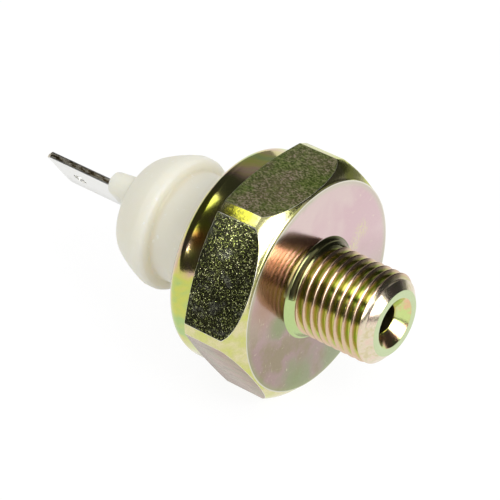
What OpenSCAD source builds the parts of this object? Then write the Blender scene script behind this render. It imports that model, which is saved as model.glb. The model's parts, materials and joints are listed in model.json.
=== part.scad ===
// Oil pressure sender: a screw-in hexagon body with one push-on blade.
// X is the axis of the stub, with the tip of the thread at +X and the tip of the blade at -X.
// The seat face lies in the plane X = 0, and one flat of the hexagon faces +Z.
// Every station along the axis is counted from the seat face, positive towards the blade.

/* [Hexagon and seat] */
// Width across the flats of the hexagon
hex_af = 23.8; // [23:0.1:27]
// Length of the hexagon along its flats, from the seat face
hex_len = 7.35; // [6.5:0.05:10]
// Depth turned off the six corners, along the radius
corner_cut = 0.37; // [0.1:0.01:0.6]
// Length of the rounded chamfer on the front corners
front_chamfer = 1.75; // [1:0.05:2.5]
// Height of the bulge of the front chamfer
chamfer_bulge = 0.22; // [0:0.01:0.3]
// Length of the chamfer on the rear corners
rear_chamfer = 0.55; // [0.3:0.05:1.5]
// Length of the plain land round the edge of the seat face
seat_land = 0.25; // [0.1:0.05:0.5]
// Distance from the edge of the seat face to the flats
seat_inset = 0.1; // [0.05:0.05:0.4]

/* [Threaded stub] */
// Outside diameter of the thread
thread_d = 10; // [9:0.5:12]
// Length of the stub, from the seat face to its tip
stub_len = 10.1; // [8:0.1:16]
// Length and depth of the bevel at the tip
tip_bevel = 1.25; // [0.5:0.05:1.6]
// Diameter of the collar where the stub meets the seat face
collar_d = 11.6; // [11:0.1:14]
// Length of the conical collar
collar_len = 0.8; // [0.4:0.1:1.5]
// Length of the groove where the thread runs out
runout_len = 0.5; // [0.3:0.1:1]
// Depth of the groove where the thread runs out
runout_depth = 0.4; // [0.2:0.05:0.6]
// Diameter of the oil port
port_d = 3.1; // [2:0.1:4]
// Diameter of the countersink at the mouth of the port
port_mouth_d = 5.6; // [4.5:0.1:6]

/* [Cup and crimp] */
// Wall of the skirt that is crimped over the insulator
skirt_wall = 1; // [0.7:0.05:1.2]
// Length of the skirt behind the hexagon
skirt_len = 3.65; // [3.4:0.05:5]
// Outside radius of the rolled edge of the skirt
crimp_round = 1.85; // [1.5:0.05:2.2]
// Reach of the lip over the insulator, along the radius
lip_reach = 2; // [1.2:0.1:2.5]
// Metal between the seat face and the floor of the cup
floor_t = 3.2; // [3:0.1:4]
// Radius of the pressure chamber under the diaphragm
chamber_r = 6; // [5:0.1:6.5]
// Depth of the pressure chamber
chamber_depth = 0.8; // [0.4:0.1:1]

/* [Diaphragm and contacts] */
// Width of the seal ring under the diaphragm
seal_w = 1.6; // [1.2:0.1:1.8]
// Height of the seal ring as it is clamped
seal_h = 1.2; // [0.8:0.1:1.6]
// Thickness of the diaphragm film
film_t = 0.15; // [0.1:0.05:0.3]
// Thickness of the fixed contact ring
ring_t = 2; // [1.6:0.1:2.4]
// Thickness of the web of the contact ring round its hole
ring_web = 0.8; // [0.5:0.1:1]
// Radius of the hole through the contact ring
ring_hole_r = 2.6; // [2:0.1:3]
// Thickness of the plate of the pusher
pusher_plate_t = 0.7; // [0.5:0.05:0.8]
// Travel of the pusher, from the closed to the open contact
travel = 0.4; // [0.2:0.05:0.4]
// Radius of the moving contact
contact_r = 4.6; // [4:0.1:5]
// Sheet thickness of the moving contact
contact_t = 0.6; // [0.4:0.05:0.8]
// Height of the collar that keeps the spring centred
contact_collar_h = 1.2; // [0.8:0.1:2]

/* [Spring] */
// Diameter of the spring wire
wire_d = 0.5; // [0.3:0.05:0.6]
// Radius of the coil, to the middle of the wire
coil_r = 2.7; // [2.2:0.05:2.8]
// Number of turns
coil_turns = 6; // [4:1:8]

/* [Insulator] */
// Thickness of the gasket under the flange
gasket_t = 0.6; // [0.4:0.1:1]
// Width of the gasket
gasket_w = 1.7; // [1.2:0.1:2]
// Radius of the neck
neck_r = 6.25; // [5.8:0.05:7]
// Station of the front edge of the head
head_front = 17.65; // [16:0.05:20]
// Largest radius of the head
head_r = 7.55; // [7:0.05:9]
// Length of the head, from its front edge to its rear face
head_len = 5.3; // [4.5:0.1:8]
// Length of the straight stretch of the head
head_land = 0.7; // [0.4:0.1:2]
// Height of the bulge of the tapered side of the head
head_bulge = 0.1; // [0:0.05:0.3]
// Radius of the rounded edge at the rear of the head
rear_round = 1.3; // [0.8:0.1:2]
// Radius of the flat rear face of the head
head_rear_r = 4.95; // [4.2:0.05:5.5]
// Length of the boss round the blade
boss_len = 2.85; // [2:0.05:8]
// Width of the boss at its end, along the blade
boss_w = 10.4; // [8:0.1:12]
// Thickness of the boss at its end, across the blade
boss_t = 2.5; // [2.2:0.1:4]
// Draft of the boss, the growth of each side over its length
boss_draft = 0.3; // [0:0.05:0.5]
// Radius of the hollow round the moving contact
hollow_r = 5.4; // [5.2:0.1:5.6]
// Station of the end of the hollow round the spring
hollow_end = 14.5; // [13:0.1:15.5]

/* [Blade] */
// Width of the blade
blade_w = 6.3; // [4.8:0.1:6.6]
// Thickness of the blade
blade_t = 0.8; // [0.5:0.1:1]
// Length of the blade outside the boss
blade_len = 10.7; // [8:0.1:12]
// Turn of the blade from the upright flat of the hexagon, in degrees
blade_turn = 31; // [0:1:90]
// Length of the thinned stretch and of the upper bevel at the tip
blade_tip = 1; // [0.5:0.1:2]
// Length of the lower bevel at the tip
blade_tip_low = 0.4; // [0.2:0.1:2]
// Diameter of the detent hole
detent_d = 1.6; // [1:0.1:2]
// Distance of the detent hole from the tip
detent_at = 3.8; // [2.5:0.1:4.5]
// Bevel along the long edges
blade_bevel = 0.15; // [0.05:0.05:0.2]
// Width of the tang that is staked into the foot
tang_w = 3; // [2:0.1:4]
// Thickness of the foot that the spring bears on
foot_t = 0.6; // [0.4:0.1:1]

/* [Hidden] */
$fn = 96;
// Clearance round pieces that are dropped or pressed into a seat
fit_gap = 0.03;
// Clearance round pieces that are dropped into the cup
drop_gap = 0.1;
// Overlap that lets a cut break cleanly through a face
cut = 1;

flat_r = hex_af / 2;
corner_r = flat_r / cos(30) - corner_cut;
seat_r = flat_r - seat_inset;
skirt_r = flat_r - seat_inset;
cup_r = skirt_r - skirt_wall;
lip_r = cup_r - lip_reach;
rim_end = hex_len + skirt_len;
lip_under = rim_end - skirt_wall;
roll_r = skirt_r - crimp_round;
roll_at = rim_end - crimp_round;
roll_inner = crimp_round - skirt_wall;

thread_r = thread_d / 2;
groove_start = collar_len + runout_len;
tip_r = thread_r - tip_bevel;
port_r = port_d / 2;
port_mouth_r = port_mouth_d / 2;

seal_mid_r = chamber_r + 0.4 + drop_gap + seal_w / 2;
film_at = floor_t;
ring_at = film_at + film_t;
ring_end = ring_at + ring_t;
recess_r = chamber_r + 0.2;
plate_r = recess_r - 0.8;
stem_r = ring_hole_r - 0.3;
film_r = cup_r - drop_gap;
contact_end = ring_end + contact_t;
collar_inner_r = coil_r + wire_d / 2 + 0.25;
collar_outer_r = collar_inner_r + contact_t;

gasket_r = film_r;
flange_at = ring_end + gasket_t;
flange_r = film_r;
spigot_r = gasket_r - gasket_w - fit_gap;
bore_r = coil_r + wire_d / 2 + 0.65;
bore_at = ring_end + contact_collar_h + contact_t + travel + 1.5;
shoulder_r = lip_r - 0.3;
shoulder_rise = 0.7;
head_rear = head_front + head_len;
boss_end = head_rear + boss_len;

foot_r = bore_r - drop_gap;
foot_at = hollow_end - foot_t;
stake = 0.35;
blade_end = boss_end + blade_len;

// Points of an arc round [cx, cy], from one angle to another
function arc(cx, cy, r, from, to, steps = 8) =
    [for (i = [0:steps]) let (a = from + (to - from) * i / steps) [cx + r * cos(a), cy + r * sin(a)]];

// Points from p to q along a curve that swells sideways by the given height
function bulged(p, q, height, steps = 8) =
    let (side = [q[1] - p[1], p[0] - q[0]] / norm(q - p))
    [for (i = [0:steps]) let (k = i / steps) p + (q - p) * k + side * 4 * height * k * (1 - k)];

// Stands the local Z axis along the axis of the sender, pointing from the seat face to the blade
module along_axis() {
    rotate([0, -90, 0])
        children();
}

// A solid turned from an outline of [radius, station] points
module turned(outline) {
    rotate_extrude()
        polygon(outline);
}

// A round hole from one station to another
module hole(r, from, to) {
    translate([0, 0, from])
        cylinder(r = r, h = to - from);
}

// A flat ring between two radii
module ring(inner, outer, from, to) {
    difference() {
        hole(outer, from, to);
        hole(inner, from - cut, to + cut);
    }
}

// The hexagon bar, cut to the turned outline of its two chamfered ends
module hexagon() {
    intersection() {
        rotate([0, 0, 30])
            cylinder(r = flat_r / cos(30), h = hex_len, $fn = 6);
        turned(concat(
            [[0, 0], [seat_r, 0]],
            bulged([seat_r, seat_land], [corner_r, seat_land + front_chamfer], chamfer_bulge),
            [[corner_r, hex_len - rear_chamfer],
             [flat_r, hex_len],
             [0, hex_len]]
        ));
    }
}

// The skirt, rolled over at its end to a lip
module skirt() {
    edge = 0.2;
    turned(concat(
        [[cup_r, hex_len - cut], [skirt_r, hex_len - cut]],
        arc(roll_r, roll_at, crimp_round, 0, 90),
        arc(lip_r + edge, rim_end - edge, edge, 90, 180, 4),
        [[lip_r, lip_under]],
        arc(roll_r, roll_at, roll_inner, 90, 0)
    ));
}

// The stub, with its collar, run-out groove and bevelled tip
module stub() {
    groove_r = thread_r - runout_depth;
    turned([
        [0, cut],
        [collar_d / 2, cut],
        [collar_d / 2, 0],
        [groove_r, -collar_len],
        [groove_r, -groove_start + runout_depth / 2],
        [thread_r, -groove_start - runout_depth / 2],
        [thread_r, -stub_len + tip_bevel],
        [tip_r, -stub_len],
        [0, -stub_len]
    ]);
}

module hex_body() {
    groove_inner = seal_mid_r - seal_w / 2 - drop_gap;
    groove_outer = seal_mid_r + seal_w / 2 + drop_gap;
    csk_depth = port_mouth_r - port_r;
    color("darkkhaki")
        along_axis()
            difference() {
                union() {
                    hexagon();
                    skirt();
                    stub();
                }
                hole(cup_r, floor_t, hex_len + cut);
                hole(chamber_r, floor_t - chamber_depth, floor_t + cut);
                ring(groove_inner, groove_outer, floor_t - seal_h, floor_t + cut);
                hole(port_r, -stub_len - cut, floor_t);
                translate([0, 0, -stub_len])
                    cylinder(r1 = port_mouth_r, r2 = port_r, h = csk_depth);
            }
}

// The seal ring, squeezed to a rounded section between the floor and the diaphragm
module seal_ring() {
    round_r = 0.45;
    inner = seal_mid_r - seal_w / 2;
    outer = seal_mid_r + seal_w / 2;
    bottom = film_at - seal_h;
    color("dimgray")
        along_axis()
            turned(concat(
                arc(inner + round_r, bottom + round_r, round_r, 180, 270, 4),
                arc(outer - round_r, bottom + round_r, round_r, 270, 360, 4),
                arc(outer - round_r, film_at - round_r, round_r, 0, 90, 4),
                arc(inner + round_r, film_at - round_r, round_r, 90, 180, 4)
            ));
}

module diaphragm() {
    color("orange")
        along_axis()
            hole(film_r, film_at, film_at + film_t);
}

// The earthed ring that clamps the diaphragm and carries the fixed contact
module contact_ring() {
    color("silver")
        along_axis()
            difference() {
                hole(film_r, ring_at, ring_end);
                hole(recess_r, ring_at - cut, ring_end - ring_web);
                hole(ring_hole_r, ring_at, ring_end + cut);
            }
}

// The pusher, a plate on the diaphragm with a stem through the contact ring
module pusher() {
    edge = 0.2;
    color("saddlebrown")
        along_axis()
            turned([
                [0, ring_at],
                [plate_r - edge, ring_at],
                [plate_r, ring_at + edge],
                [plate_r, ring_at + pusher_plate_t],
                [stem_r, ring_at + pusher_plate_t],
                [stem_r, ring_end],
                [0, ring_end]
            ]);
}

// The pressed contact disc, with the collar that centres the spring
module moving_contact() {
    color("goldenrod")
        along_axis()
            union() {
                hole(contact_r, ring_end, contact_end);
                ring(collar_inner_r, collar_outer_r, ring_end, contact_end + contact_collar_h);
            }
}

// The spring, one round wire swept along a helix with closed ends
module return_spring() {
    sides = 8;
    per_turn = 16;
    steps = coil_turns * per_turn;
    gap = 0.02;
    low = contact_end + wire_d / 2 + gap;
    high = foot_at - wire_d / 2 - gap;
    // Share of the height that a point has climbed, flat over the first and last turn
    climb = function (turn) min(1, max(0, (turn - 0.75) / (coil_turns - 1.5)));
    points = [
        for (i = [0:steps], k = [0:sides - 1])
            let (turn = i / per_turn, a = 360 * turn, b = 360 * k / sides)
            let (r = coil_r + wire_d / 2 * cos(b))
            [r * cos(a), r * sin(a), low + (high - low) * climb(turn) + wire_d / 2 * sin(b)]
    ];
    walls = [
        for (i = [0:steps - 1], k = [0:sides - 1])
            let (p = i * sides + k, q = i * sides + (k + 1) % sides)
            [p, q, q + sides, p + sides]
    ];
    first = [[for (k = [sides - 1:-1:0]) k]];
    last = [[for (k = [0:sides - 1]) steps * sides + k]];
    color("lightsteelblue")
        along_axis()
            polyhedron(points, concat(walls, first, last));
}

module flange_gasket() {
    color("dimgray")
        along_axis()
            ring(gasket_r - gasket_w, gasket_r, ring_end, flange_at);
}

// A slot for the blade, along its whole path through the insulator
module blade_slot() {
    w = blade_w + 2 * fit_gap;
    t = blade_t + 2 * fit_gap;
    rotate([0, 0, -blade_turn])
        translate([-w / 2, -t / 2, hollow_end - cut])
            cube([w, t, blade_end - hollow_end]);
}

// The boss, flat on its two sides and round at its two ends, and drafted all round
module boss() {
    end_r = boss_t / 2;
    reach = boss_len + cut;
    root_r = end_r + boss_draft * reach / boss_len;
    straight = boss_w - boss_t;
    rotate([0, 0, -blade_turn])
        translate([0, 0, head_rear - cut]) {
            rotate([90, 0, 90])
                linear_extrude(straight, center = true)
                    polygon([[-root_r, 0], [root_r, 0], [end_r, reach], [-end_r, reach]]);
            for (side = [-1, 1])
                translate([side * straight / 2, 0, 0])
                    cylinder(r1 = root_r, r2 = end_r, h = reach);
        }
}

module insulator() {
    flange_round = roll_inner + fit_gap;
    neck_foot = 0.8;
    front_round = 0.55;
    undercut = 0.25;
    taper_at = head_front + front_round + head_land;
    rear_edge = arc(head_rear_r, head_rear - rear_round, rear_round, 26, 90, 6);
    color("ivory")
        along_axis()
            difference() {
                union() {
                    turned(concat(
                        [[0, ring_end], [spigot_r, ring_end], [spigot_r, flange_at], [flange_r, flange_at]],
                        [[flange_r, roll_at]],
                        arc(flange_r - flange_round, lip_under - flange_round, flange_round, 0, 90, 5),
                        [[shoulder_r, lip_under], [shoulder_r - 0.3, lip_under + shoulder_rise]],
                        arc(neck_r + neck_foot, lip_under + shoulder_rise + neck_foot, neck_foot, 270, 180, 5),
                        [[neck_r, head_front - undercut]],
                        [[neck_r + undercut, head_front]],
                        arc(head_r - front_round, head_front + front_round, front_round, 300, 360, 5),
                        bulged([head_r, taper_at], rear_edge[0], head_bulge),
                        [for (i = [1:6]) rear_edge[i]],
                        [[0, head_rear]]
                    ));
                    boss();
                }
                hole(hollow_r, ring_end - cut, bore_at);
                hole(bore_r, ring_end, hollow_end);
                blade_slot();
            }
}

// The foot inside the insulator, staked to the tang of the blade
module contact_foot() {
    color("goldenrod")
        along_axis()
            difference() {
                hole(foot_r, foot_at, hollow_end);
                rotate([0, 0, -blade_turn])
                    translate([0, 0, hollow_end])
                        cube([tang_w + 2 * fit_gap, blade_t + 2 * fit_gap, 4 * foot_t], center = true);
            }
}

// Outline of the blade seen on its face, as [width, station] points
module blade_face() {
    half = blade_w / 2;
    polygon([
        [-tang_w / 2, foot_at - stake],
        [tang_w / 2, foot_at - stake],
        [tang_w / 2, hollow_end],
        [half, hollow_end],
        [half, blade_end - blade_tip],
        [half - blade_tip, blade_end],
        [-half + blade_tip_low, blade_end],
        [-half, blade_end - blade_tip_low],
        [-half, hollow_end],
        [-tang_w / 2, hollow_end]
    ]);
}

// Outline of the blade seen on its edge, thinned at the tip
module blade_side() {
    half = blade_t / 2;
    thin = blade_t / 4;
    polygon([
        [-half, foot_at - stake],
        [half, foot_at - stake],
        [half, blade_end - blade_tip],
        [thin, blade_end],
        [-thin, blade_end],
        [-half, blade_end - blade_tip]
    ]);
}

// Cross section of the blade, with its four long edges bevelled
module blade_section() {
    w = blade_w / 2;
    t = blade_t / 2;
    b = blade_bevel;
    polygon([
        [-w, -t + b], [-w + b, -t], [w - b, -t], [w, -t + b],
        [w, t - b], [w - b, t], [-w + b, t], [-w, t - b]
    ]);
}

module terminal_blade() {
    color("gainsboro")
        along_axis()
            rotate([0, 0, -blade_turn])
                difference() {
                    intersection() {
                        rotate([90, 0, 0])
                            linear_extrude(2 * blade_t, center = true)
                                blade_face();
                        rotate([90, 0, 90])
                            linear_extrude(2 * blade_w, center = true)
                                blade_side();
                        linear_extrude(blade_end + cut)
                            blade_section();
                    }
                    translate([0, 0, blade_end - detent_at])
                        rotate([90, 0, 0])
                            cylinder(d = detent_d, h = 2 * blade_t, center = true);
                }
}

hex_body();
seal_ring();
diaphragm();
contact_ring();
pusher();
moving_contact();
return_spring();
flange_gasket();
insulator();
contact_foot();
terminal_blade();
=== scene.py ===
# Oil pressure sender: a passivated hexagon body with a fine thread, a nylon insulator and a tinned blade.
# The meshes are drawn in millimetres. Stations run along the axis from the seat face towards the blade,
# so a station is minus X, and every finished mesh is scaled to metres.
import json
import math

import bmesh
import bpy
from mathutils import Matrix, Vector


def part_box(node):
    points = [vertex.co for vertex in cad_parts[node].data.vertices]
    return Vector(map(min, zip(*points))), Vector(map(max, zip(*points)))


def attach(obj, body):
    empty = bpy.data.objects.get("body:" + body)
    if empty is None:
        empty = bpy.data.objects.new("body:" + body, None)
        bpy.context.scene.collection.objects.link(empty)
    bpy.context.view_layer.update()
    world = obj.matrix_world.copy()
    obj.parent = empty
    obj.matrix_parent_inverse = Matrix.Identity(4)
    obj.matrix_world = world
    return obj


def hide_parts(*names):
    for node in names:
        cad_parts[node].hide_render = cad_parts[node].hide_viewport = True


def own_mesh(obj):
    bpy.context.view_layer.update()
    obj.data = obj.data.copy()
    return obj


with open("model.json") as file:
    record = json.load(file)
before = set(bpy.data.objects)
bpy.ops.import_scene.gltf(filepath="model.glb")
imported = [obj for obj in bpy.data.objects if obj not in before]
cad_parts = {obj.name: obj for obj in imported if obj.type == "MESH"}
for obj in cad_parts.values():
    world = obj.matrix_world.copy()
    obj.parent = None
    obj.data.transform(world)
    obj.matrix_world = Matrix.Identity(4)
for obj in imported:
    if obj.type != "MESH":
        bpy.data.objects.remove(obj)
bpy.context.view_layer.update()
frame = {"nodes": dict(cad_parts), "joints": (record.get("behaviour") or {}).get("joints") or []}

MM = 0.001
AXIS = Vector((1, 0, 0))
ROUND_STEPS = 144

# Sizes read from the frame
body_low, body_high = (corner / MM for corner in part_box("hex_body"))
insulator_low, insulator_high = (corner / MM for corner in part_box("insulator"))
blade_low, blade_high = (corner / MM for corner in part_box("terminal_blade"))
spring_low, spring_high = (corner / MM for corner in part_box("return_spring"))
FLAT_R = body_high.z
STUB_LEN = body_high.x
RIM_END = -body_low.x
BOSS_END = -insulator_low.x
FLANGE_R = insulator_high.y
BLADE_END = -blade_low.x
BLADE_START = -blade_high.x

# Hexagon and seat
HEX_LEN = 7.35
CORNER_R = 13.37
SEAT_R = 11.8
SEAT_LAND = 0.25
FRONT_CHAMFER = 1.75
CHAMFER_BULGE = 0.22
REAR_CHAMFER = 0.55
EDGE_BREAK = 0.06
FLAT_EDGE_BREAK = 0.09

# Stub and thread
THREAD_R = 5
PITCH = 1
CREST_ROUND = 0.12
ROOT_HALF = 0.125
FLANK_ANGLE = 30
THREAD_TURNS = 10.5
TIP_SET_BACK = 0.2
TIP_AT = STUB_LEN - TIP_SET_BACK
TIP_R = 3.62
TIP_BEVEL = 1.15
COLLAR_R = 5.7
COLLAR_WAIST_R = 5.45
COLLAR_WAIST = 0.15
COLLAR_LEN = 0.8
COLLAR_STEP_R = 5.42
NICK_LEN = 0.18
NICK_SLOPE = 0.08
NICK_DEPTH = 0.2
CREST_AT = 0.37
RUNOUT_ANGLE = 161
HIDDEN_ANGLE = -60
PORT_R = 1.55
PORT_MOUTH_R = 2.8
PORT_CONE_END = PORT_MOUTH_R - PORT_R - TIP_AT

# Cup and crimp
SKIRT_R = 11.8
SKIRT_WALL = 1
CRIMP_ROUND = 1.85
LIP_R = 8.8
FLOOR_AT = 3.2
CHAMBER_R = 6
CHAMBER_AT = 2.4
SEAL_INNER = 6.4
SEAL_OUTER = 8.2
SEAL_AT = 2

# Insulator
HOLLOW_START = 5.35
GASKET_T = 0.6
SPIGOT_R = 8.97
NECK_R = 6.25
HEAD_FRONT = 17.65
HEAD_R = 7.55
HEAD_LAND = 0.7
HEAD_REAR = 22.95
HEAD_REAR_R = 4.95
HEAD_BULGE = 0.1
REAR_ROUND = 1.3
BOSS_W = 10.4
BOSS_T = 2.5
BOSS_DRAFT = 0.3
BOSS_ROUND = 0.22
HOLLOW_R = 5.4
HOLLOW_END = 9.05
BORE_R = 3.6
BORE_END = 14.5

# Blade
BLADE_TURN = math.radians(31)
BLADE_W = 6.3
BLADE_T = 0.8
BLADE_TIP = 1
BLADE_TIP_LOW = 0.4
BLADE_THINNING = 0.5
TANG_W = 3
BLADE_BEVEL = 0.16
DETENT_R = 0.8
DETENT_AT = 3.8

# Return spring
COIL_R = 2.7
WIRE_R = 0.25
COIL_TURNS = 6
CLOSED_TURNS = 0.75

# Studio: how bright each part of it is, with white as 1
DIFFUSE_LIGHT = 0.78
MIRRORED_DARK = 0.035
MIRRORED_FLOOR = 0.9
MIRRORED_CEILING = 0.6
FLOOR_GLOW = 1.06
FLOOR_GLOW_SHARE = 0.85
CLOTH = (0.86, 0.86, 0.86)
SHADED_CLOTH = (0.05, 0.05, 0.05)
# Pale panels that only gloss shows: turn and height of the middle, half width, half height and softness
# in degrees, and brightness
PANELS = (
    (-14, 34, 30, 24, 4, 6.0),
    (-97, 28, 9, 32, 4, 0.65),
    (-160, 56, 18, 6, 2, 2.4),
    (-132, 36, 6, 5, 2, 1.6),
    (128, 20, 18, 22, 8, 0.25),
)


def arc(cx, cy, r, start, end, steps):
    """Points of an arc round (cx, cy), with its angles in degrees."""
    angles = [math.radians(start + (end - start) * i / steps) for i in range(steps + 1)]
    return [(cx + r * math.cos(a), cy + r * math.sin(a)) for a in angles]


def bulged(p, q, height, steps=10):
    """Points from p to q along a curve that swells sideways by height."""
    p, q = Vector(p), Vector(q)
    side = Vector((q.y - p.y, p.x - q.x)).normalized()
    shares = [i / steps for i in range(steps + 1)]
    return [tuple(p.lerp(q, k) + side * 4 * height * k * (1 - k)) for k in shares]


def softened(outline, radius):
    """The closed outline with each sharp corner replaced by a small round."""
    points = [Vector(p) for p in outline]
    result = []
    for i, p in enumerate(points):
        before = points[i - 1] - p
        after = points[(i + 1) % len(points)] - p
        turn = math.pi - before.angle(after)
        if turn < math.radians(20):
            result.append(p)
            continue
        reach = min(radius, before.length * 0.4, after.length * 0.4)
        a, b = p + before.normalized() * reach, p + after.normalized() * reach
        result += [a, (a + b + p * 2) / 4, b]
    return [tuple(p) for p in result]


def new_object(name, bm):
    """An object in the scene from a bmesh that is no longer needed."""
    mesh = bpy.data.meshes.new(name)
    bm.to_mesh(mesh)
    bm.free()
    piece = bpy.data.objects.new(name, mesh)
    bpy.context.scene.collection.objects.link(piece)
    return piece


def turned(name, outline):
    """A solid turned about the axis from (radius, station) points: a closed loop, or a line between two
    points on the axis."""
    bm = bmesh.new()
    ring = [bm.verts.new((-station, 0, radius)) for radius, station in outline]
    edges = [bm.edges.new(pair) for pair in zip(ring, ring[1:])]
    if outline[0][0] > 0:
        edges.append(bm.edges.new((ring[-1], ring[0])))
    bmesh.ops.spin(bm, geom=ring + edges, axis=AXIS, cent=(0, 0, 0), angle=2 * math.pi,
                   steps=ROUND_STEPS, use_merge=True)
    bmesh.ops.remove_doubles(bm, verts=bm.verts, dist=1e-5)
    bmesh.ops.recalc_face_normals(bm, faces=bm.faces)
    return new_object(name, bm)


def combine(piece, tool, operation):
    """Cuts, joins or intersects piece with tool, and removes tool."""
    modifier = piece.modifiers.new("combine", "BOOLEAN")
    modifier.operation = operation
    modifier.solver = "EXACT"
    modifier.object = tool
    solved = piece.evaluated_get(bpy.context.evaluated_depsgraph_get())
    mesh = bpy.data.meshes.new_from_object(solved)
    piece.modifiers.clear()
    piece.data = mesh
    bpy.data.objects.remove(tool)


def blade_place():
    """Turns width, thickness and station into the place of the blade."""
    width = Vector((0, -math.sin(BLADE_TURN), math.cos(BLADE_TURN)))
    across = Vector((0, math.cos(BLADE_TURN), math.sin(BLADE_TURN)))
    return Matrix((width, across, -AXIS)).transposed().to_4x4()


def finished(piece, body, node, sharp=28):
    """Scales a piece to metres, shades it and puts it in place of its node."""
    bm = bmesh.new()
    bm.from_mesh(piece.data)
    for face in bm.faces:
        face.smooth = True
    limit = math.radians(sharp)
    for edge in bm.edges:
        edge.smooth = len(edge.link_faces) == 2 and edge.calc_face_angle(0) < limit
    bmesh.ops.scale(bm, vec=(MM, MM, MM), verts=bm.verts)
    bm.to_mesh(piece.data)
    bm.free()
    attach(piece, body)
    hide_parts(node)


class Value:
    """A socket that a calculation can use: arithmetic on it adds Math nodes."""

    def __init__(self, graph, socket):
        self.graph = graph
        self.socket = socket

    def math(self, operation, *values):
        """A Math node with this value and any others as its inputs."""
        return self.graph.node("ShaderNodeMath", {"operation": operation}, dict(enumerate((self, *values))))

    def __add__(self, other):
        return self.math("ADD", other)

    def __sub__(self, other):
        return self.math("SUBTRACT", other)

    def __rsub__(self, other):
        return self.graph.node("ShaderNodeMath", {"operation": "SUBTRACT"}, {0: other, 1: self})

    def __mul__(self, other):
        return self.math("MULTIPLY", other)

    def __truediv__(self, other):
        return self.math("DIVIDE", other)

    def __neg__(self):
        return self * -1

    __radd__ = __add__
    __rmul__ = __mul__

    def step(self, low, high):
        """Goes smoothly from 0 at low to 1 at high."""
        return self.graph.node("ShaderNodeMapRange", {"interpolation_type": "SMOOTHSTEP"},
                               {"Value": self, "From Min": low, "From Max": high})

    def band(self, middle, half, soft):
        """1 within half of middle, fading to 0 over a soft edge."""
        return 1 - (self - middle).math("ABSOLUTE").step(half - soft, half + soft)


class Graph:
    """The nodes of one material or of the world."""

    def __init__(self, owner):
        owner.use_nodes = True
        self.tree = owner.node_tree
        self.tree.nodes.clear()

    def node(self, kind, settings=None, inputs=None, output=0):
        """One node with its settings, its inputs as values or links, and the output that is used."""
        node = self.tree.nodes.new(kind)
        for name, value in (settings or {}).items():
            if name == "stops":
                for _ in range(len(value) - len(node.color_ramp.elements)):
                    node.color_ramp.elements.new(0.5)
                for element, (place, colour) in zip(node.color_ramp.elements, value):
                    element.position = place
                    element.color = (*colour, 1)
            else:
                setattr(node, name, value)
        for name, value in (inputs or {}).items():
            if isinstance(value, Value):
                self.tree.links.new(value.socket, node.inputs[name])
            else:
                node.inputs[name].default_value = value
        return Value(self, node.outputs[output])

    def ramp(self, factor, *stops):
        """Colours along a factor, from stops of (place, RGB triple)."""
        return self.node("ShaderNodeValToRGB", {"stops": stops}, {"Fac": factor})

    def mix(self, factor, a, b):
        """Mixes two colours, each an RGB triple or a Value."""
        full = [value if isinstance(value, Value) else (*value, 1) for value in (a, b)]
        inputs = {0: factor, 6: full[0], 7: full[1]}
        return self.node("ShaderNodeMix", {"data_type": "RGBA"}, inputs, output=2)

    def place(self):
        """Object coordinates in millimetres."""
        metres = self.node("ShaderNodeTexCoord", output="Object")
        return self.node("ShaderNodeVectorMath", {"operation": "SCALE"}, {0: metres, "Scale": 1 / MM})

    def axes(self, place):
        """The three parts of a place."""
        return [self.node("ShaderNodeSeparateXYZ", inputs={0: place}, output=i) for i in range(3)]

    def noise(self, place, scale, detail=3, roughness=0.5, distortion=0):
        """A cloudy value from 0 to 1, with the scale per millimetre."""
        return self.node("ShaderNodeTexNoise", inputs={
            "Vector": place, "Scale": scale, "Detail": detail, "Roughness": roughness,
            "Distortion": distortion})

    def crystals(self, place, scale):
        """A value from 0 to 1 for each grain of a crystal pattern."""
        grains = self.node("ShaderNodeTexVoronoi", {"feature": "F1"}, {"Vector": place, "Scale": scale},
                           output="Color")
        return self.node("ShaderNodeSeparateColor", inputs={0: grains})

    def stretched(self, place, factors):
        """The place with each of its axes scaled, for streaks."""
        return self.node("ShaderNodeVectorMath", {"operation": "MULTIPLY"}, {0: place, 1: factors})

    def spots(self, place, centres, ragged):
        """1 near each of some points, given with their reach, and 0 away from them, with ragged edges."""
        total = None
        for centre, reach in centres:
            away = self.node("ShaderNodeVectorMath", {"operation": "DISTANCE"}, {0: place, 1: centre},
                             output="Value")
            near = 1 - (away + (ragged - 0.5) * (2.4 * reach)).step(reach * 0.1, reach * 1.15)
            total = near if total is None else total.math("MAXIMUM", near)
        return total

    def bump(self, height, distance):
        """A normal from a height, with the distance in millimetres."""
        return self.node("ShaderNodeBump", inputs={
            "Strength": 1, "Distance": distance * MM, "Height": height})

    def surface(self, **inputs):
        """Ends a material with one shader."""
        names = {name.replace("_", " "): value for name, value in inputs.items()}
        self.output(self.node("ShaderNodeBsdfPrincipled", inputs=names, output="BSDF"))

    def output(self, shader, kind="ShaderNodeOutputMaterial"):
        """Links a shader to the end of the graph."""
        end = self.tree.nodes.new(kind)
        self.tree.links.new(shader.socket, end.inputs["Surface"])


def new_material(name):
    """A material with the graph that its finish is drawn in."""
    material = bpy.data.materials.new(name)
    return material, Graph(material)


# Tones and grain that several finishes of the passivated zinc share
OLIVE = (0.30, 0.31, 0.11)
LEAF_GREEN = (0.46, 0.62, 0.24)
YELLOW_GREEN = (0.66, 0.70, 0.16)
STRAW = (0.78, 0.70, 0.42)
FINE_GRAIN = 3.5


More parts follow.
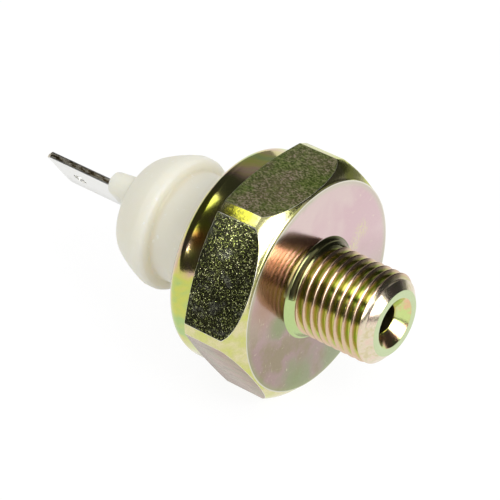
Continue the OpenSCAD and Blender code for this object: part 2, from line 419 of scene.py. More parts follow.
def flat_finish():
    """The rolled flats of the bar: dark and speckled, calmer on the upper one, pinkish brown underneath,
    darkened there as painted shade.
    """
    material, g = new_material("passivated_flats")
    place = g.place()
    z = g.axes(place)[2]
    grain = g.noise(place, 6, 3, 0.6)
    crystal = g.crystals(place, 9.5)
    coarse = g.crystals(g.stretched(place, (5, 8, 8)), 1)
    patch = g.noise(place, 0.55, 4, 0.65)
    cloud = g.noise(place, 0.16, 2)
    scratch = g.noise(g.stretched(place, (9, 0.7, 9)), 1, 2, 0.5).step(0.66, 0.72)
    top = z.step(FLAT_R - 0.4, FLAT_R - 0.1)
    shaded_underside = (-z).step(-0.15, 0.15)
    pits = g.ramp(crystal, (0.40, (0.022, 0.023, 0.011)), (0.70, (0.070, 0.074, 0.030)),
                  (0.85, (0.15, 0.17, 0.055)), (0.93, (0.44, 0.50, 0.12)), (0.98, (0.80, 0.80, 0.42)))
    grey = g.ramp(crystal, (0.3, (0.07, 0.072, 0.055)), (0.8, (0.19, 0.19, 0.15)),
                  (0.95, (0.42, 0.44, 0.26)))
    rough_lit = g.mix(patch.step(0.50, 0.64) * 0.85, pits, grey)
    green = g.ramp(coarse, (0.2, (0.16, 0.23, 0.045)), (0.6, (0.32, 0.44, 0.09)), (0.9, (0.60, 0.66, 0.24)))
    tan = g.ramp(coarse, (0.2, (0.26, 0.25, 0.10)), (0.6, (0.50, 0.44, 0.22)), (0.88, (0.86, 0.70, 0.52)))
    calm_lit = g.mix((patch * 0.5 + cloud * 0.7).step(0.50, 0.74), green, tan)
    # painted shade: the underside flats get a darker brown, partly their own tint and partly painted shade
    brown = g.mix(patch.step(0.42, 0.58), (0.34, 0.19, 0.12), (0.27, 0.21, 0.10))
    worn_streak = g.noise(g.stretched(place, (0.5, 2.2, 2.2)), 1, 3, 0.6).step(0.52, 0.62)
    brown = g.mix(worn_streak * 0.6, g.mix(grain * 0.4, brown, (0.36, 0.29, 0.20)), (0.16, 0.09, 0.05))
    colour = g.mix(shaded_underside, g.mix(top, rough_lit, calm_lit), brown)
    colour = g.mix(scratch * cloud, colour, STRAW)
    height = (grain + crystal * 0.3) * (1 - 0.75 * top) * (1 - 0.8 * shaded_underside) + scratch * 0.1
    g.surface(Base_Color=colour, Metallic=1.0, Roughness=0.18 + 0.12 * grain + 0.14 * top,
              Normal=g.bump(height, 0.022))
    return material


def seat_finish():
    """The turned seat face: pink and lavender with green patches, turning marks and fine scratches."""
    material, g = new_material("passivated_seat")
    place = g.place()
    y, z = g.axes(place)[1:]
    radius = (y * y + z * z).math("SQRT")
    cloud = g.noise(place, 0.14, 2, 0.5, 0.5)
    patch = g.noise(place, 0.32, 3, 0.55)
    fine = g.noise(place, FINE_GRAIN, 3, 0.6)
    fall = ((5.5 - z - 0.4 * y) / 12).math("MAXIMUM", 0).math("MINIMUM", 1)
    pale = g.mix(cloud.step(0.4, 0.6), (0.70, 0.55, 0.54), (0.66, 0.47, 0.50))
    deep = g.mix(patch.step(0.4, 0.6), (0.37, 0.26, 0.25), (0.30, 0.24, 0.16))
    tone = g.mix(fall, pale, deep)
    leaf = g.spots(place, GREEN_SPOTS, patch)
    tone = g.mix(leaf * 0.75, tone, (0.22, 0.30, 0.12))
    dotted = g.spots(place, YELLOW_SPOTS, patch) * fine.step(0.42, 0.62)
    tone = g.mix(dotted * 0.6, tone, (0.70, 0.72, 0.30))
    # painted reflection: brown where the seat mirrors the stub, darkening that mirrored image
    tone = g.mix(g.spots(place, STUB_MIRROR_SHADE_SPOTS, patch * 0.3 + 0.35) * 0.8, tone, (0.40, 0.25, 0.18))
    green_rim = g.mix(fall, (0.56, 0.60, 0.42), (0.30, 0.36, 0.16))
    tone = g.mix(radius.step(SEAT_R - 0.9, SEAT_R - 0.1) * 0.55, tone, green_rim)
    scratch = g.noise(g.stretched(place, (1, 0.5, 7)), 1.4, 3, 0.5, 0.4).step(0.68, 0.72)
    across = g.noise(g.stretched(place, (1, 5, 1.2)), 1.2, 3, 0.5, 0.6).step(0.69, 0.73)
    marks = g.node("ShaderNodeTexNoise", {"noise_dimensions": "1D"},
                   {"W": radius, "Scale": 7.0, "Detail": 2.0})
    colour = g.mix((scratch + across) * 0.4 + fine * 0.08, tone, (0.9, 0.9, 0.62))
    colour = g.mix(radius.step(SEAT_R - 0.18, SEAT_R - 0.09) * 0.5, colour, (0.97, 0.95, 0.85))
    height = marks * 0.3 + fine * 0.4 + (scratch + across) * 0.4
    g.surface(Base_Color=colour, Metallic=1.0, Roughness=0.10 + 0.05 * patch, Normal=g.bump(height, 0.002))
    return material


def chamfer_finish():
    """The turned chamfers of the hexagon: bright yellow green with straw patches."""
    material, g = new_material("passivated_chamfer")
    place = g.place()
    patch = g.noise(place, 0.4, 3, 0.6)
    fine = g.noise(place, FINE_GRAIN, 3, 0.6)
    tone = g.ramp(patch, (0.35, YELLOW_GREEN), (0.5, (0.68, 0.66, 0.28)), (0.62, STRAW), (0.75, LEAF_GREEN))
    colour = g.mix(fine * 0.3, tone, OLIVE)
    gold = g.mix(fine.step(0.4, 0.6), (0.36, 0.35, 0.05), (0.66, 0.64, 0.06))
    colour = g.mix(g.spots(place, GOLD_SPOTS, patch), colour, gold)
    g.surface(Base_Color=colour, Metallic=1.0, Roughness=0.12 + 0.1 * patch, Normal=g.bump(fine, 0.012))
    return material


def skirt_finish():
    """The smooth skirt and its rolled edge: green and yellow, pale pink round the lip."""
    material, g = new_material("passivated_skirt")
    place = g.place()
    x = g.axes(place)[0]
    patch = g.noise(place, 0.22, 3, 0.5, 0.5)
    fine = g.noise(place, FINE_GRAIN, 3, 0.6)
    tone = g.ramp(patch, (0.36, (0.40, 0.56, 0.20)), (0.46, (0.58, 0.60, 0.13)),
                  (0.54, (0.66, 0.55, 0.20)), (0.60, (0.64, 0.44, 0.32)), (0.68, (0.56, 0.56, 0.22)))
    tone = g.mix(g.spots(place, YELLOW_BEND, patch), tone, (0.66, 0.70, 0.08))
    lip = (-x).step(9.9, 10.7)
    colour = g.mix(lip, tone, (0.74, 0.60, 0.54))
    colour = g.mix(g.spots(place, ORANGE_SPOTS, patch) * 0.8, colour, (0.80, 0.26, 0.06))
    g.surface(Base_Color=g.mix(fine * 0.15, colour, OLIVE), Metallic=1.0, Roughness=0.08 + 0.06 * patch,
              Normal=g.bump(fine, 0.004))
    return material


def thread_finish():
    """The stub: gold green in the grooves of the thread, pink on its crests, pale at the tip; the crest pink
    is partly tint and partly a painted highlight.
    """
    material, g = new_material("passivated_thread")
    place = g.place()
    x, y, z = g.axes(place)
    radius = (y * y + z * z).math("SQRT")
    patch = g.noise(place, 0.4, 3, 0.6)
    fine = g.noise(place, 5, 3, 0.6)
    tone = g.ramp(patch, (0.35, (0.40, 0.54, 0.09)), (0.5, (0.56, 0.50, 0.14)), (0.65, (0.42, 0.52, 0.09)))
    # painted highlight: the pink reaches down the flanks to widen the crest highlight, over the crests' own
    # pink tint
    crest = radius.step(THREAD_R - 0.42, THREAD_R - 0.10)
    tip = x.step(TIP_AT - 1.3, TIP_AT - 0.9)
    ring = x.step(TIP_AT - 0.05, TIP_AT - 0.02)
    collar = 1 - x.step(COLLAR_LEN - 0.05, COLLAR_LEN + 0.1)
    colour = g.mix(crest * 0.85, tone, (0.76, 0.52, 0.42))
    # painted reflection: the top of the collar is painted dark for the dark reflection it shows, green below
    band = g.mix(z.step(1.6, 2.4), (0.50, 0.64, 0.28), (0.15, 0.15, 0.07))
    colour = g.mix(collar, colour, band)
    mottle = g.noise(place, 1.1, 4, 0.65)
    cream = g.ramp(mottle, (0.40, (0.84, 0.66, 0.54)), (0.50, (0.80, 0.70, 0.54)), (0.62, (0.72, 0.62, 0.40)))
    colour = g.mix(tip, colour, cream)
    cone = 1 - radius.step(PORT_MOUTH_R - 0.04, PORT_MOUTH_R + 0.04)
    colour = g.mix(ring, colour, (0.60, 0.70, 0.42))
    tint = g.mix(patch.step(0.4, 0.55), (0.84, 0.52, 0.32), (0.62, 0.74, 0.28))
    colour = g.mix(cone * tip, colour, tint)
    g.surface(Base_Color=g.mix(fine * 0.2, colour, OLIVE), Metallic=1.0, Roughness=0.13 + 0.08 * patch,
              Normal=g.bump(fine, 0.006))
    return material


def worn_finish():
    """The edges of the flats, rubbed bright."""
    material, g = new_material("rubbed_edges")
    place = g.place()
    patch = g.noise(place, 1.2, 3, 0.6)
    colour = g.mix(patch.step(0.4, 0.6), (0.88, 0.86, 0.78), (0.70, 0.68, 0.46))
    g.surface(Base_Color=colour, Metallic=1.0, Roughness=0.25 + 0.2 * patch, Normal=g.bump(patch, 0.02))
    return material


def port_shade_finish():
    """The wall of the oil port, dull, painted dark as shade inside the port."""
    material, g = new_material("port_wall_painted_dark")
    place = g.place()
    patch = g.noise(place, 1.5, 3, 0.6)
    # painted shade: the port wall is darkened for the shade inside it
    colour = g.mix(patch, (0.10, 0.08, 0.04), (0.05, 0.045, 0.025))
    g.surface(Base_Color=colour, Metallic=1.0, Roughness=0.35 + 0.1 * patch)
    return material


def nylon_finish():
    """Ivory nylon with a satin moulded skin."""
    material, g = new_material("ivory_nylon")
    place = g.place()
    cloud = g.noise(place, 0.2, 2, 0.5)
    fine = g.noise(place, 2.2, 4, 0.6)
    station = -g.axes(place)[0]
    scuffs = g.noise(place, 1.3, 3, 0.7).step(0.64, 0.70)
    colour = g.mix(cloud * 0.5 + fine * 0.2, (0.88, 0.86, 0.76), (0.78, 0.75, 0.60))
    # painted shade: a darker yellow band in the crease where the neck meets the head
    colour = g.mix(station.band(HEAD_FRONT - 0.35, 0.25, 0.2) * 0.16, colour, (0.80, 0.68, 0.42))
    colour = g.mix(scuffs * 0.5, colour, (0.95, 0.95, 0.92))
    g.surface(Base_Color=colour, Roughness=0.42 + 0.12 * fine, Normal=g.bump(fine, 0.015),
              Subsurface_Weight=0.8, Subsurface_Radius=(1.0, 0.9, 0.7), Subsurface_Scale=0.003, IOR=1.45)
    return material


def blade_finish():
    """Tinned strip: bright, drawn lengthwise, with brass showing where the tin is thin."""
    material, g = new_material("tinned_strip")
    place = g.place()
    streak = g.noise(g.stretched(place, (0.3, 5, 5)), 1, 3, 0.6)
    cloud = g.noise(place, 0.8, 3, 0.6)
    worn = g.noise(place, 1.6, 3, 0.6).step(0.62, 0.74)
    colour = g.mix(cloud * 0.4, (0.86, 0.86, 0.84), (0.72, 0.71, 0.67))
    colour = g.mix(worn * 0.25, colour, (0.74, 0.58, 0.28))
    g.surface(Base_Color=colour, Metallic=1.0, Roughness=0.26 + 0.14 * streak,
              Normal=g.bump(streak + cloud, 0.006))
    return material


def blade_edge_finish():
    """The sheared edges of the blade: dark gold with bright streaks."""
    material, g = new_material("sheared_edge")
    place = g.place()
    streak = g.noise(g.stretched(place, (1.2, 4.5, 4.5)), 1, 4, 0.7)
    station = -g.axes(place)[0]
    colour = g.ramp(streak, (0.38, (0.10, 0.07, 0.03)), (0.47, (0.40, 0.31, 0.17)),
                    (0.54, (1.0, 0.93, 0.76)))
    colour = g.mix(station.band(BOSS_END, 0.9, 0.3) * 0.8, colour, (0.80, 0.56, 0.12))
    g.surface(Base_Color=colour, Metallic=1.0, Roughness=0.3 + 0.2 * streak, Normal=g.bump(streak, 0.02))
    return material


def plain_finish(name, light, dark, metallic, roughness, scale, depth):
    """A finish for the pieces inside: two tones and a fine grain."""
    material, g = new_material(name)
    place = g.place()
    cloud = g.noise(place, scale, 3, 0.6)
    fine = g.noise(place, scale * 6, 3, 0.6)
    g.surface(Base_Color=g.mix(cloud.step(0.3, 0.7), light, dark), Metallic=metallic,
              Roughness=roughness + 0.15 * fine, Normal=g.bump(fine, depth))
    return material


# Where the passivation changes its tint, and where the seat is painted darker as it mirrors the stub: points
# in millimetres, each with its reach
GREEN_SPOTS = (
    ((0.0, -6.4, -0.5), 2.2),
    ((0.0, 2.2, -10.2), 2.6),
    ((0.0, -4.0, -9.7), 3.0),
    ((-1.0, -0.9, 11.9), 1.8),
)
YELLOW_SPOTS = (((0.0, 7.3, 3.0), 1.4), ((0.0, 5.9, 1.7), 1.2))
# painted reflection: these spots darken the seat where it mirrors the stub
STUB_MIRROR_SHADE_SPOTS = (((0.0, -7.2, 6.6), 4.2), ((0.0, -8.4, 3.0), 3.4))
YELLOW_BEND = (((-8.8, -5.5, 10.5), 3.2), ((-9.0, -8.2, 8.5), 2.2))
ORANGE_SPOTS = (((-8.4, -8.7, 7.9), 1.6), ((-8.7, -8.6, 8.1), 1.2))
GOLD_SPOTS = (((-4.1, -6.5, 11.7), 2.0), ((-5.5, -6.5, 11.7), 1.6))

# The finishes of the body, in the order of its materials
FLAT, SEAT, CHAMFER, SKIRT, STUB, WORN, BORE = range(7)


def body_region(face):
    """Which finish a face of the body has."""
    hair, close, margin = 0.01, 0.02, 0.2
    middle = face.calc_center_median()
    station, radius = -middle.x, math.hypot(middle.y, middle.z)
    turns = [math.radians(angle) for angle in (0, 60, 120)]
    reach = max(abs(middle.z * math.cos(turn) - middle.y * math.sin(turn)) for turn in turns)
    if reach > FLAT_R - hair / 2 and abs(face.normal.x) < hair:
        return FLAT
    if radius < PORT_R + close or radius < PORT_R + margin and station > PORT_CONE_END + margin / 2:
        return BORE
    if station < -hair or radius < COLLAR_R - hair and station < 5 * hair:
        return STUB
    if station < hair and face.normal.x > 0.9:
        return SEAT
    if station < HEX_LEN - close and radius > SKIRT_R - margin:
        return CHAMFER
    return SKIRT


def body_outline():
    """The body as a turned part, before its flats and its thread are cut."""
    roll_r = SKIRT_R - CRIMP_ROUND
    roll_at = RIM_END - CRIMP_ROUND
    cup_r = SKIRT_R - SKIRT_WALL
    lip_edge = 0.2
    clear = 0.02
    return softened([
        (PORT_MOUTH_R, -TIP_AT),
        (TIP_R, -TIP_AT),
        (THREAD_R, TIP_BEVEL - TIP_AT),
        (THREAD_R, -COLLAR_LEN - NICK_LEN),
        (THREAD_R - NICK_DEPTH, -COLLAR_LEN - NICK_SLOPE),
        (THREAD_R, -COLLAR_LEN),
        (COLLAR_WAIST_R, -COLLAR_WAIST),
        (COLLAR_R, 0),
        (SEAT_R, 0),
        *bulged((SEAT_R, SEAT_LAND), (CORNER_R, SEAT_LAND + FRONT_CHAMFER), CHAMFER_BULGE),
        (CORNER_R, HEX_LEN - REAR_CHAMFER),
        (FLAT_R + clear, HEX_LEN),
        (SKIRT_R, HEX_LEN),
        *arc(roll_r, roll_at, CRIMP_ROUND, 0, 90, 12),
        *arc(LIP_R + lip_edge, RIM_END - lip_edge, lip_edge, 90, 180, 4),
        (LIP_R, RIM_END - SKIRT_WALL),
        *arc(roll_r, roll_at, CRIMP_ROUND - SKIRT_WALL, 90, 0, 8),
        (cup_r, FLOOR_AT),
        (SEAL_OUTER, FLOOR_AT),
        (SEAL_OUTER, SEAL_AT),
        (SEAL_INNER, SEAL_AT),
        (SEAL_INNER, FLOOR_AT),
        (CHAMBER_R, FLOOR_AT),
        (CHAMBER_R, CHAMBER_AT),
        (PORT_R, CHAMBER_AT),
        (PORT_R, PORT_CONE_END),
    ], EDGE_BREAK)


def hexagon_bar():
    """A bar with six flats, longer than the body."""
    bm = bmesh.new()
    spare = 2
    length = STUB_LEN + RIM_END + 2 * spare
    turn = Matrix.Rotation(math.radians(90), 4, "Y")
    centre = Matrix.Translation(((STUB_LEN - RIM_END) / 2, 0, 0))
    corner_r = FLAT_R / math.cos(math.pi / 6)
    bmesh.ops.create_cone(bm, cap_ends=True, segments=6, radius1=corner_r, radius2=corner_r, depth=length,
                          matrix=centre @ turn)
    return new_object("bar", bm)


def wound(name, section, angle, turns):
    """A solid wound along the thread from a closed section of (x, radius) points, starting at an angle."""
    steps = 96
    bm = bmesh.new()
    start = CREST_AT + PITCH * angle / 360
    ring = [bm.verts.new((start + x, radius, 0)) for x, radius in section]
    edges = [bm.edges.new(pair) for pair in zip(ring, ring[1:] + ring[:1])]
    bmesh.ops.rotate(bm, cent=(0, 0, 0), matrix=Matrix.Rotation(math.radians(angle), 3, "X"), verts=ring)
    bmesh.ops.spin(bm, geom=ring + edges, axis=AXIS, cent=(0, 0, 0), angle=2 * math.pi * turns,
                   steps=round(steps * turns), dvec=(PITCH / steps, 0, 0), use_merge=False)
    bmesh.ops.holes_fill(bm, edges=bm.edges, sides=len(section))
    bmesh.ops.recalc_face_normals(bm, faces=bm.faces)
    return new_object(name, bm)


def thread_cutter():
    """The groove between the rounded ridges of the thread, from beside the collar to past the tip."""
    clear = 0.03
    crown_angle = 105
    middle = PITCH / 2
    crest_at = THREAD_R - CREST_ROUND
    crest = arc(middle, crest_at, CREST_ROUND, 180 - FLANK_ANGLE, crown_angle, 4)
    half_mouth, flank_top = crest[0]
    root_r = flank_top - (half_mouth - ROOT_HALF) / math.tan(math.radians(FLANK_ANGLE))
    side = [(ROOT_HALF, root_r), *crest, (crest[-1][0], THREAD_R + clear)]
    section = [(middle - x, r) for x, r in reversed(side)] + [(middle + x, r) for x, r in side]
    return wound("thread_cutter", section, HIDDEN_ANGLE, THREAD_TURNS)


def collar_step():
    """The raised part of the collar, which ends in a notch where the thread runs out."""
    front, bend, crown, back = -0.04, -0.14, -0.5, -1.2
    sunk_r = THREAD_R - 0.4
    section = [
        (front, sunk_r),
        (front, THREAD_R + 0.12),
        (bend, COLLAR_STEP_R - 0.08),
        (crown, COLLAR_STEP_R),
        (back, COLLAR_STEP_R + 0.04),
        (back, sunk_r),
    ]
    turns = (RUNOUT_ANGLE - HIDDEN_ANGLE) / 360
    return wound("collar_step", section, HIDDEN_ANGLE, turns)


def break_flat_edges(piece):
    """Gives the faces of the body their finishes, and bevels the edges round the six flats."""
    crease = math.radians(8)
    bm = bmesh.new()
    bm.from_mesh(piece.data)
    bmesh.ops.remove_doubles(bm, verts=bm.verts, dist=1e-4)
    for face in bm.faces:
        face.material_index = body_region(face)
    edges = [edge for edge in bm.edges
             if len(edge.link_faces) == 2 and edge.calc_face_angle(0) > crease
             and (edge.link_faces[0].material_index == FLAT) != (edge.link_faces[1].material_index == FLAT)]
    broken = bmesh.ops.bevel(bm, geom=edges, offset=FLAT_EDGE_BREAK, offset_type="OFFSET", affect="EDGES",
                             segments=2, profile=0.5, material=-1, clamp_overlap=True)
    for face in broken["faces"]:
        face.material_index = WORN
    bm.to_mesh(piece.data)
    bm.free()


def sender_body():
    """The body, turned, with its thread and its six flats cut."""
    piece = turned("sender_body", body_outline())
    combine(piece, hexagon_bar(), "INTERSECT")
    combine(piece, collar_step(), "UNION")
    combine(piece, thread_cutter(), "DIFFERENCE")
    finishes = (flat_finish, seat_finish, chamfer_finish, skirt_finish, thread_finish, worn_finish,
                port_shade_finish)
    for finish in finishes:
        piece.data.materials.append(finish())
    break_flat_edges(piece)
    finished(piece, "housing", "hex_body", sharp=24)


def boss():
    """The boss round the blade, drafted, flat on two sides and round at its ends."""
    sink = 1.2
    depth = BOSS_END - HEAD_REAR + sink
    end_r = BOSS_T / 2
    root_r = end_r + BOSS_DRAFT * depth / (BOSS_END - HEAD_REAR)
    bm = bmesh.new()
    segments = 48
    half_step = Matrix.Rotation(math.pi / segments, 4, "Z")
    bmesh.ops.create_cone(bm, cap_ends=True, segments=segments, radius1=root_r, radius2=end_r, depth=depth,
                          matrix=half_step)
    for side in (-1, 1):
        half = [v for v in bm.verts if v.co.x * side > 0]
        bmesh.ops.translate(bm, vec=(side * (BOSS_W / 2 - end_r), 0, 0), verts=half)
    rim = [e for e in bm.edges if all(v.co.z > depth / 2 - 1e-4 for v in e.verts)]
    bmesh.ops.bevel(bm, geom=rim, offset=BOSS_ROUND, offset_type="OFFSET", affect="EDGES", segments=4,
                    profile=0.5, material=-1, clamp_overlap=True)
    bmesh.ops.translate(bm, vec=(0, 0, BOSS_END - depth / 2), verts=bm.verts)
    bmesh.ops.transform(bm, matrix=blade_place(), verts=bm.verts)
    return new_object("boss", bm)


def blade_slot():
    """The slot that the blade fills."""
    gap = 0.03
    spare = 1
    bm = bmesh.new()
    bmesh.ops.create_cube(bm, size=1)
    length = BLADE_END - BORE_END + spare
    bmesh.ops.scale(bm, vec=(BLADE_W + 2 * gap, BLADE_T + 2 * gap, length), verts=bm.verts)
    bmesh.ops.translate(bm, vec=(0, 0, BORE_END + (length - spare) / 2), verts=bm.verts)
    bmesh.ops.transform(bm, matrix=blade_place(), verts=bm.verts)
    return new_object("slot", bm)


def sender_insulator():
    """The moulded insulator, with its flange, neck, head and boss."""
    flange_at = HOLLOW_START + GASKET_T
    lip_under = RIM_END - SKIRT_WALL
    roll_at = RIM_END - CRIMP_ROUND
    shoulder_r = LIP_R - 0.3
    shoulder_draft = 0.3
    flange_round = CRIMP_ROUND - SKIRT_WALL + 0.03
    neck_foot = 0.8
    neck_top = 0.3
    front_round = 0.55
    shoulder_at = lip_under + 0.7
    rear_edge = arc(HEAD_REAR_R, HEAD_REAR - REAR_ROUND, REAR_ROUND, 26, 90, 8)
    taper_at = HEAD_FRONT + front_round + HEAD_LAND
    piece = turned("sender_insulator", [
        (0, BORE_END), (BORE_R, BORE_END), (BORE_R, HOLLOW_END), (HOLLOW_R, HOLLOW_END),
        (HOLLOW_R, HOLLOW_START), (SPIGOT_R, HOLLOW_START), (SPIGOT_R, flange_at), (FLANGE_R, flange_at),
        (FLANGE_R, roll_at),
        *arc(FLANGE_R - flange_round, lip_under - flange_round, flange_round, 0, 90, 6),
        (shoulder_r, lip_under), (shoulder_r - shoulder_draft, shoulder_at),
        *arc(NECK_R + neck_foot, shoulder_at + neck_foot, neck_foot, 270, 180, 8),
        *arc(NECK_R + neck_top, HEAD_FRONT - neck_top, neck_top, 180, 90, 4),
        *arc(HEAD_R - front_round, HEAD_FRONT + front_round, front_round, 290, 360, 8),
        *bulged((HEAD_R, taper_at), rear_edge[0], HEAD_BULGE, 12),
        *rear_edge[1:],
        (0, HEAD_REAR),
    ])
    combine(piece, boss(), "UNION")
    combine(piece, blade_slot(), "DIFFERENCE")
    piece.data.materials.append(nylon_finish())
    finished(piece, "housing", "insulator")


def sender_blade():
    """The tinned blade, thinned and bevelled at its tip, with its detent hole and its tang."""
    half, tang = BLADE_W / 2, TANG_W / 2
    outline = [
        (-tang, BLADE_START), (tang, BLADE_START), (tang, BORE_END), (half, BORE_END),
        (half, BLADE_END - BLADE_TIP), (half - BLADE_TIP, BLADE_END), (BLADE_TIP_LOW - half, BLADE_END),
        (-half, BLADE_END - BLADE_TIP_LOW), (-half, BORE_END), (-tang, BORE_END),
    ]
    bm = bmesh.new()
    face = bm.faces.new([bm.verts.new((w, -BLADE_T / 2, station)) for w, station in outline])
    thick = bmesh.ops.extrude_face_region(bm, geom=[face])
    moved = [item for item in thick["geom"] if isinstance(item, bmesh.types.BMVert)]
    bmesh.ops.translate(bm, vec=(0, BLADE_T, 0), verts=moved)
    everything = bm.verts[:] + bm.edges[:] + bm.faces[:]
    bmesh.ops.bisect_plane(bm, geom=everything, plane_co=(0, 0, BLADE_END - BLADE_TIP), plane_no=(0, 0, 1),
                           dist=1e-4)
    for vert in bm.verts:
        near_tip = max(0, (vert.co.z - (BLADE_END - BLADE_TIP)) / BLADE_TIP)
        vert.co.y *= 1 - BLADE_THINNING * near_tip
    bmesh.ops.recalc_face_normals(bm, faces=bm.faces)
    outer = [e for e in bm.edges if len(e.link_faces) == 2 and e.calc_face_angle(0) > math.radians(40)
             and abs(e.verts[0].co.y - e.verts[1].co.y) < 1e-3]
    bmesh.ops.bevel(bm, geom=outer, offset=BLADE_BEVEL, offset_type="OFFSET", affect="EDGES", segments=2,
                    profile=0.5, material=-1, clamp_overlap=True)
    piece = new_object("sender_blade", bm)
    punch = bmesh.new()
    place = Matrix.Translation((0, 0, BLADE_END - DETENT_AT)) @ Matrix.Rotation(math.radians(90), 4, "X")
    bmesh.ops.create_cone(punch, cap_ends=True, segments=48, radius1=DETENT_R, radius2=DETENT_R,
                          depth=2.5 * BLADE_T, matrix=place)
    combine(piece, new_object("punch", punch), "DIFFERENCE")
    for finish in (blade_finish(), blade_edge_finish()):
        piece.data.materials.append(finish)
    hole = Vector((0, BLADE_END - DETENT_AT))
    for face in piece.data.polygons:
        in_hole = (Vector((face.center.x, face.center.z)) - hole).length < DETENT_R + 0.02
        face.material_index = 1 if abs(face.normal.y) < 0.3 and not in_hole else 0
    piece.data.transform(blade_place())
    finished(piece, "housing", "terminal_blade")


def return_spring():
    """The return spring, wound with a closed turn at each end; how far it would shorten as the contact opens
    is worked out but not used.
    """
    per_turn = 48
    wire_sides = 16
    near_end, far_end = -spring_high.x + WIRE_R, -spring_low.x - WIRE_R
    bm = bmesh.new()
    wire = bmesh.ops.create_circle(bm, cap_ends=False, radius=WIRE_R, segments=wire_sides)["verts"]
    bmesh.ops.rotate(bm, cent=(0, 0, 0), matrix=Matrix.Rotation(math.radians(90), 3, "X"), verts=wire)
    bmesh.ops.translate(bm, vec=(-near_end, 0, COIL_R), verts=wire)
    ring = wire + bm.edges[:]
    open_turns = COIL_TURNS - 2 * CLOSED_TURNS
    rise = far_end - near_end
    for turns, climb in ((CLOSED_TURNS, 0), (open_turns, rise), (CLOSED_TURNS, 0)):
        steps = round(turns * per_turn)
        last = bmesh.ops.spin(bm, geom=ring, axis=AXIS, cent=(0, 0, 0), angle=2 * math.pi * turns,
                              steps=steps, dvec=(-climb / steps, 0, 0), use_merge=False)["geom_last"]
        ring = [item for item in last if not isinstance(item, bmesh.types.BMFace)]
    bmesh.ops.holes_fill(bm, edges=bm.edges, sides=wire_sides)
    bmesh.ops.recalc_face_normals(bm, faces=bm.faces)
    piece = new_object("wound_spring", bm)
    wire_finish = plain_finish("spring_wire", (0.52, 0.52, 0.54), (0.36, 0.36, 0.38), 1.0, 0.25, 1.2, 0.004)
    piece.data.materials.append(wire_finish)
    finished(piece, "housing", "return_spring")
    length = rise + 2 * WIRE_R
    slide = next(joint for joint in frame["joints"] if joint["name"] == "contact_slide")
    travel = slide["range_m"][1] / MM
    (length - travel) / length
    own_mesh(piece)


def dress_inner_pieces():
    """Finishes for the pieces that the body and the insulator hide."""
    rubber = plain_finish("black_rubber", (0.035, 0.035, 0.035), (0.02, 0.02, 0.022), 0.0, 0.5, 1.5, 0.01)
    brass = plain_finish("pressed_brass", (0.80, 0.62, 0.30), (0.66, 0.48, 0.20), 1.0, 0.25, 0.9, 0.006)
    film = plain_finish("amber_film", (0.66, 0.36, 0.07), (0.56, 0.28, 0.05), 0.0, 0.12, 0.6, 0.002)
    steel = plain_finish("turned_steel", (0.62, 0.62, 0.61), (0.5, 0.5, 0.5), 1.0, 0.28, 0.8, 0.006)
    moulding = plain_finish("brown_moulding", (0.22, 0.11, 0.055), (0.15, 0.075, 0.04), 0.0, 0.45, 1.5, 0.012)
    finishes = {
        "seal_ring": rubber,
        "flange_gasket": rubber,
        "diaphragm": film,
        "contact_ring": steel,
        "pusher": moulding,
        "moving_contact": brass,
        "contact_foot": brass,
    }
    for node, finish in finishes.items():
        piece = frame["nodes"][node]
        piece.data.materials.clear()
        piece.data.materials.append(finish)


def soft_lamp(name, direction, distance, size, power):
    """A soft lamp that faces the middle of the seat face from a direction, with its sizes in metres."""
    lamp = bpy.data.lights.new(name, "AREA")
    lamp.shape = "RECTANGLE"
    lamp.size, lamp.size_y = size
    lamp.energy = power
    holder = bpy.data.objects.new(name, lamp)
    bpy.context.scene.collection.objects.link(holder)
    towards = Vector(direction).normalized()
    holder.location = towards * distance
    holder.rotation_mode = "QUATERNION"
    holder.rotation_quaternion = towards.to_track_quat("Z", "Y")
    return holder


def ray_kinds(g):
    """Whether a ray comes straight from the camera, off a gloss or through a clear piece."""
    kinds = ("Camera", "Glossy", "Transmission")
    return [g.node("ShaderNodeLightPath", output=f"Is {kind} Ray") for kind in kinds]


def surroundings():
    """White to the camera, even for soft light, and dark with a few pale panels for gloss."""
    world = bpy.data.worlds.new("studio")
    bpy.context.scene.world = world
    g = Graph(world)
    camera, glossy, through = ray_kinds(g)
    x, y, z = g.axes(g.node("ShaderNodeTexCoord", output="Generated"))
    degree = 180 / math.pi
    turn = y.math("ARCTAN2", x) * degree
    height = z.math("ARCSINE") * degree
    below = 1 - height.step(-6, -1)
    above = height.step(54, 62)
    mirrored = MIRRORED_DARK + MIRRORED_FLOOR * below + MIRRORED_CEILING * above
    for towards, up, half_turn, half_up, soft, light in PANELS:
        mirrored = mirrored + turn.band(towards, half_turn, soft) * height.band(up, half_up, soft) * light
    seen = camera.math("MAXIMUM", through)
    strength = seen + (1 - seen) * (glossy * mirrored + (1 - glossy) * DIFFUSE_LIGHT)
    background = g.node("ShaderNodeBackground", inputs={"Color": (1, 1, 1, 1), "Strength": strength})
    g.output(background, "ShaderNodeOutputWorld")


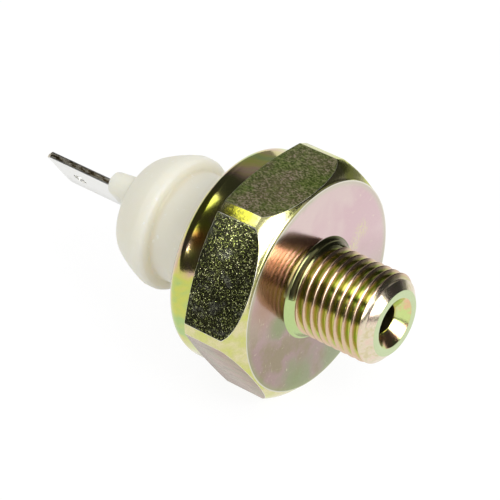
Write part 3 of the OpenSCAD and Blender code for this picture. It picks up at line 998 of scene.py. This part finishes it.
def pale_floor():
    """A floor, drawn in metres, that keeps the shadow and that gloss sees as shaded off to one side."""
    width = 1.5
    clear = 0.00002
    bm = bmesh.new()
    bmesh.ops.create_grid(bm, x_segments=1, y_segments=1, size=width)
    bmesh.ops.translate(bm, vec=(0, 0, body_low.z * MM - clear), verts=bm.verts)
    floor = new_object("floor", bm)
    material, g = new_material("pale_floor")
    camera, glossy, through = ray_kinds(g)
    x, y = g.axes(g.place())[:2]
    shade = glossy * (y + 0.2 * x).step(30, 110) * (x + 0.2 * y).step(-10, 30) * 0.9
    white = camera.math("MAXIMUM", glossy - shade).math("MAXIMUM", through)
    cloth = g.node("ShaderNodeBsdfDiffuse", inputs={"Color": g.mix(1 - shade, SHADED_CLOTH, CLOTH)})
    glow = g.node("ShaderNodeEmission", inputs={"Color": (1, 1, 1, 1), "Strength": FLOOR_GLOW})
    g.output(g.node("ShaderNodeMixShader", inputs={0: white * FLOOR_GLOW_SHARE, 1: cloth, 2: glow}))
    floor.data.materials.append(material)


def lamps():
    """A broad lamp over the stub, and a small one that only glints on the skirt."""
    soft_lamp("key", direction=(0.75, -0.13, 0.66), distance=0.35, size=(0.16, 0.16), power=0.5)
    glint = soft_lamp("glint", direction=(-40.5, -55.3, 28.6), distance=0.074, size=(0.006, 0.008),
                      power=0.003)
    glint.visible_camera = False
    glint.visible_diffuse = False


def photo_camera():
    """The camera at the photograph's angle: its place and aim in millimetres, and its roll."""
    place = Vector((130.86, -164.06, 168.65))
    aim = Vector((-6.86, -2.50, 3.26))
    roll = math.radians(-2.53)
    focal_pixels = 2606.4
    frame_pixels = 500
    lens = bpy.data.cameras.new("photo_camera")
    lens.sensor_width = 36
    lens.lens = focal_pixels / frame_pixels * lens.sensor_width
    lens.clip_start = 0.01
    lens.clip_end = 10
    camera = bpy.data.objects.new("photo_camera", lens)
    bpy.context.scene.collection.objects.link(camera)
    camera.location = place * MM
    look = (place - aim).to_track_quat("Z", "Y").to_matrix() @ Matrix.Rotation(roll, 3, "Z")
    camera.rotation_mode = "QUATERNION"
    camera.rotation_quaternion = look.to_quaternion()
    bpy.context.scene.camera = camera


sender_body()
sender_insulator()
sender_blade()
return_spring()
dress_inner_pieces()
surroundings()
pale_floor()
lamps()
photo_camera()
bpy.context.scene.view_settings.view_transform = "Standard"
